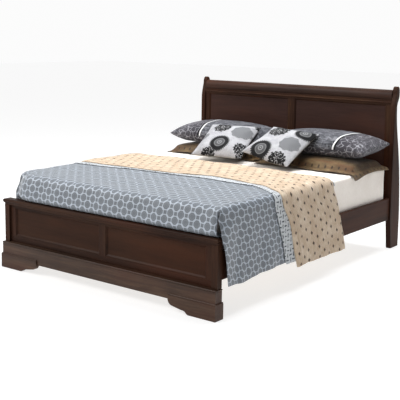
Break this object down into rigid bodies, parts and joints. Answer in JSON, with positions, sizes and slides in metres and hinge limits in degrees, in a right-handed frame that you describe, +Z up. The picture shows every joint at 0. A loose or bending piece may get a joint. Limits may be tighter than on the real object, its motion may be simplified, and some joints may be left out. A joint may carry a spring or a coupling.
{
  "type": "sleigh bed",
  "caption": "California-king sleigh bed: tall scrolled headboard, low framed footboard on bracket feet, slatted base, dressed mattress with comforter, coverlet and pillows.",
  "frame": {"origin": "centre of the bed's plan on the floor", "axes": "+Z up, +X towards the bed's side that is on the right when seen from the foot end, +Y from the footboard towards the headboard"},
  "size_m": [1.922, 2.486, 1.292],
  "materials": {
    "espresso_wood": "satin",
    "espresso_panel": "satin",
    "plain_wood": "matte",
    "steel": "brushed",
    "plastic": "matte",
    "webbing": "matte",
    "mattress_ticking": "matte",
    "comforter_cloth": "matte",
    "lining_cloth": "matte",
    "coverlet_cloth": "matte",
    "khaki_cloth": "matte",
    "grey_cloth": "matte",
    "floral_cloth": "matte"
  },
  "bodies": {
    "frame": {"head_post_l": "espresso_wood", "head_post_r": "espresso_wood", "head_roll": "espresso_wood", "head_rail_top": "espresso_wood", "head_rail_bottom": "espresso_wood", "head_stile_l": "espresso_wood", "head_stile_r": "espresso_wood", "head_stile_mid": "espresso_wood", "head_panel_l": "espresso_panel", "head_panel_r": "espresso_panel", "head_bead_l": "espresso_wood", "head_bead_r": "espresso_wood", "foot_post_l": "espresso_wood", "foot_post_r": "espresso_wood", "foot_cap": "espresso_wood", "foot_subtop": "espresso_wood", "foot_rail_top": "espresso_wood", "foot_rail_bottom": "espresso_wood", "foot_stile_l": "espresso_wood", "foot_stile_r": "espresso_wood", "foot_stile_mid": "espresso_wood", "foot_panel_l": "espresso_panel", "foot_panel_r": "espresso_panel", "foot_bead_l": "espresso_wood", "foot_bead_r": "espresso_wood", "plinth": "espresso_wood", "plinth_bead": "espresso_wood", "bracket_foot_l": "espresso_wood", "bracket_foot_r": "espresso_wood", "bracket_mould_l": "espresso_wood", "bracket_mould_r": "espresso_wood", "corner_blocks": "plain_wood", "side_rail_l": "espresso_wood", "side_rail_r": "espresso_wood", "rail_cleat_l": "plain_wood", "rail_cleat_r": "plain_wood", "rail_plates_l": "steel", "rail_plates_r": "steel", "centre_beam": "plain_wood", "beam_brackets": "steel", "support_legs": "plain_wood", "head_pads": "plastic", "foot_pads": "plastic"},
    "leveller_foot": {"leveller_foot": "plastic"},
    "leveller_mid": {"leveller_mid": "plastic"},
    "leveller_head": {"leveller_head": "plastic"},
    "slat_deck": {"slats": "plain_wood", "slat_straps": "webbing"},
    "mattress": {"mattress": "mattress_ticking"},
    "comforter": {"comforter": "comforter_cloth", "lining_band": "lining_cloth"},
    "coverlet": {"coverlet": "coverlet_cloth"},
    "khaki_sham_l": {"khaki_sham_l": "khaki_cloth"},
    "khaki_sham_r": {"khaki_sham_r": "khaki_cloth"},
    "grey_sham_l": {"grey_sham_l": "grey_cloth"},
    "grey_sham_r": {"grey_sham_r": "grey_cloth"},
    "throw_l": {"throw_l": "floral_cloth"},
    "throw_r": {"throw_r": "floral_cloth"}
  },
  "joints": [
    {"name": "leveller_foot_screw", "type": "slide", "parent": "frame", "child": "leveller_foot", "axis": [0, 0, 1], "range_m": [0, 0.012]},
    {"name": "leveller_mid_screw", "type": "slide", "parent": "frame", "child": "leveller_mid", "axis": [0, 0, 1], "range_m": [0, 0.012]},
    {"name": "leveller_head_screw", "type": "slide", "parent": "frame", "child": "leveller_head", "axis": [0, 0, 1], "range_m": [0, 0.012]},
    {"name": "slat_deck_lift", "type": "slide", "parent": "frame", "child": "slat_deck", "axis": [0, 0, 1], "range_m": [0, 0.15]},
    {"name": "mattress_lift", "type": "slide", "parent": "slat_deck", "child": "mattress", "axis": [0, 0, 1], "range_m": [0, 0.3]},
    {"name": "comforter_lift", "type": "slide", "parent": "mattress", "child": "comforter", "axis": [0, 0, 1], "range_m": [0, 0.2]},
    {"name": "coverlet_lift", "type": "slide", "parent": "comforter", "child": "coverlet", "axis": [0, 0, 1], "range_m": [0, 0.15]},
    {"name": "khaki_sham_l_lift", "type": "slide", "parent": "coverlet", "child": "khaki_sham_l", "axis": [0, 0, 1], "range_m": [0, 0.15]},
    {"name": "grey_sham_l_lift", "type": "slide", "parent": "khaki_sham_l", "child": "grey_sham_l", "axis": [0, 0, 1], "range_m": [0, 0.15]},
    {"name": "throw_l_lift", "type": "slide", "parent": "grey_sham_l", "child": "throw_l", "axis": [0, 0, 1], "range_m": [0, 0.2]},
    {"name": "khaki_sham_r_lift", "type": "slide", "parent": "coverlet", "child": "khaki_sham_r", "axis": [0, 0, 1], "range_m": [0, 0.15]},
    {"name": "grey_sham_r_lift", "type": "slide", "parent": "khaki_sham_r", "child": "grey_sham_r", "axis": [0, 0, 1], "range_m": [0, 0.15]},
    {"name": "throw_r_lift", "type": "slide", "parent": "grey_sham_r", "child": "throw_r", "axis": [0, 0, 1], "range_m": [0, 0.2]}
  ]
}
